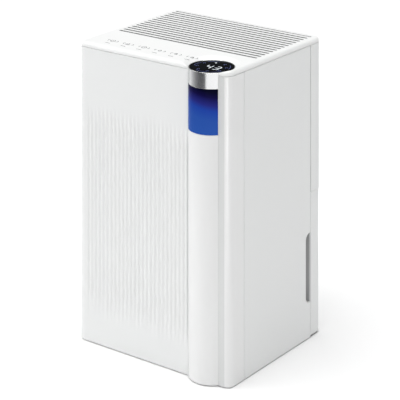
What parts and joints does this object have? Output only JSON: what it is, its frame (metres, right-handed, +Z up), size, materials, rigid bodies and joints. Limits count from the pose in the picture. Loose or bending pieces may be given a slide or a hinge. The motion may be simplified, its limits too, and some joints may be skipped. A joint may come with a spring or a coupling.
{
  "type": "dehumidifier",
  "caption": "Upright white compressor dehumidifier with a fluted front, half-round display column, slotted top outlet, rear air filter and pull-out water tank.",
  "frame": {"origin": "on the floor, under the middle of the box that holds the whole machine", "axes": "+X to the right in a front view (the side of the display column), +Y to the back, +Z up"},
  "size_m": [0.262, 0.238, 0.42],
  "materials": {
    "white_shell": "satin moulded white ABS, very fine spark texture",
    "white_column": "smooth semi-gloss white ABS",
    "chrome_trim": "polished chrome plating",
    "black_glass": "polished black printed glass",
    "blue_window": "translucent blue diffuser, lit from behind",
    "white_inner": "plain moulded white polypropylene",
    "grey_inner": "plain moulded grey plastic",
    "tank_clear": "smoke-clear moulded plastic",
    "dark_rubber": "matt black rubber",
    "grey_rubber": "matt grey silicone rubber",
    "black_paint": "semi-gloss black enamel on steel",
    "copper_tube": "bare drawn copper",
    "fin_metal": "thin bare aluminium",
    "zinc_steel": "zinc plated steel",
    "magnet_iron": "dark ferrite",
    "board_green": "green solder mask on glass fibre",
    "white_foam": "closed-cell white foam",
    "filter_net": "fine woven nylon net"
  },
  "bodies": {
    "cabinet": {"base_pan": "grey_inner", "rubber_feet": "dark_rubber", "front_panel": "white_shell", "column_cover": "white_column", "light_window": "blue_window", "chrome_ring": "chrome_trim", "display_glass": "black_glass", "display_board": "board_green", "light_board": "board_green", "top_cover": "white_shell", "touch_board": "board_green", "left_side_panel": "white_shell", "right_side_panel": "white_shell", "rear_cover": "white_shell", "rear_screws": "zinc_steel", "bulkhead": "grey_inner", "reed_switch": "grey_inner", "compressor": "black_paint", "compressor_grommets": "dark_rubber", "compressor_studs": "zinc_steel", "accumulator": "black_paint", "evaporator_fins": "fin_metal", "evaporator_tube": "copper_tube", "condenser_fins": "fin_metal", "condenser_tube": "copper_tube", "coil_end_plates": "zinc_steel", "discharge_pipe": "copper_tube", "suction_pipe": "copper_tube", "filter_drier": "copper_tube", "liquid_pipe": "copper_tube", "drip_tray": "white_inner", "drain_spout": "white_inner", "cord_gland": "grey_rubber", "fan_scroll": "grey_inner", "fan_motor": "zinc_steel", "motor_bracket": "zinc_steel", "motor_screws": "zinc_steel", "outlet_plenum": "grey_inner", "control_box": "grey_inner", "control_board": "board_green", "run_capacitor": "fin_metal", "humidity_sensor": "board_green"},
    "water_tank": {"tank_shell": "tank_clear", "tank_lid": "white_inner", "tank_cover": "white_shell", "level_window": "tank_clear", "float_pin": "zinc_steel"},
    "float": {"float_lever": "white_inner", "float_block": "white_foam", "float_magnet": "magnet_iron"},
    "intake_filter": {"intake_grille": "white_shell", "filter_frame": "white_inner", "filter_mesh": "filter_net"},
    "plug": {"drain_plug": "grey_rubber"},
    "fan": {"fan_wheel": "grey_inner", "fan_shaft": "zinc_steel", "fan_nut": "zinc_steel"}
  },
  "joints": [
    {"name": "tank_slide", "type": "slide", "parent": "cabinet", "child": "water_tank", "axis": [0, 1, 0], "range_m": [0, 0.13]},
    {"name": "float_hinge", "type": "hinge", "parent": "water_tank", "child": "float", "pos_m": [-0.06, 0.06, 0.172], "axis": [0, -1, 0], "range_deg": [0, 12]},
    {"name": "grille_hinge", "type": "hinge", "parent": "cabinet", "child": "intake_filter", "pos_m": [0, 0.1187, 0.2244], "axis": [-1, 0, 0], "range_deg": [0, 60]},
    {"name": "plug_slide", "type": "slide", "parent": "cabinet", "child": "plug", "axis": [0, 1, 0], "range_m": [0, 0.018]},
    {"name": "fan_spin", "type": "hinge", "parent": "cabinet", "child": "fan", "pos_m": [-0.008, 0, 0.298], "axis": [0, 1, 0], "continuous": true}
  ]
}
